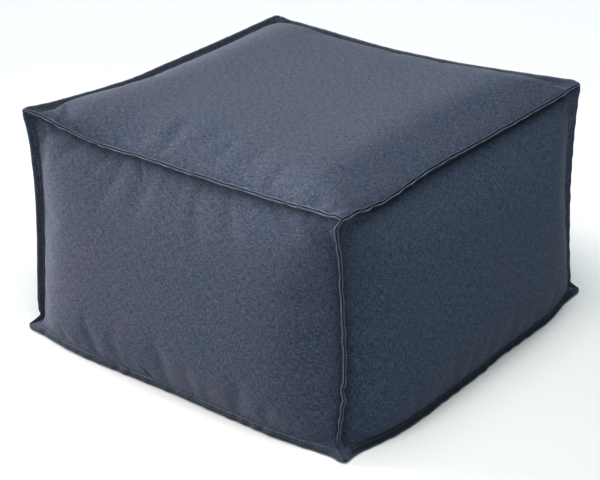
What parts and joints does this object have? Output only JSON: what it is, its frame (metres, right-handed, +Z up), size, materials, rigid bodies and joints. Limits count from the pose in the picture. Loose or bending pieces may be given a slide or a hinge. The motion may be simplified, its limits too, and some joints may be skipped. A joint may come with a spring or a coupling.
{
  "type": "outdoor pouf",
  "caption": "Square filled outdoor pouf in plain slate-blue cloth, its panels joined by turned-out topstitched seams with small corner ears; it stands on its flat base as a seat or footrest.",
  "frame": {"origin": "middle of the footprint, on the floor", "axes": "+Z up through the crown of the top panel, -Y towards the panel that faces left in the picture, +X towards the panel that faces right in it"},
  "size_m": [0.6422, 0.64, 0.3562],
  "materials": {
    "outdoor_cloth": "matte plain weave"
  },
  "bodies": {
    "root": {"filled_body": "outdoor_cloth", "top_panel_border": "outdoor_cloth", "bottom_panel_border": "outdoor_cloth", "front_panel_border": "outdoor_cloth", "back_panel_border": "outdoor_cloth", "left_panel_border": "outdoor_cloth", "right_panel_border": "outdoor_cloth"}
  },
  "joints": []
}
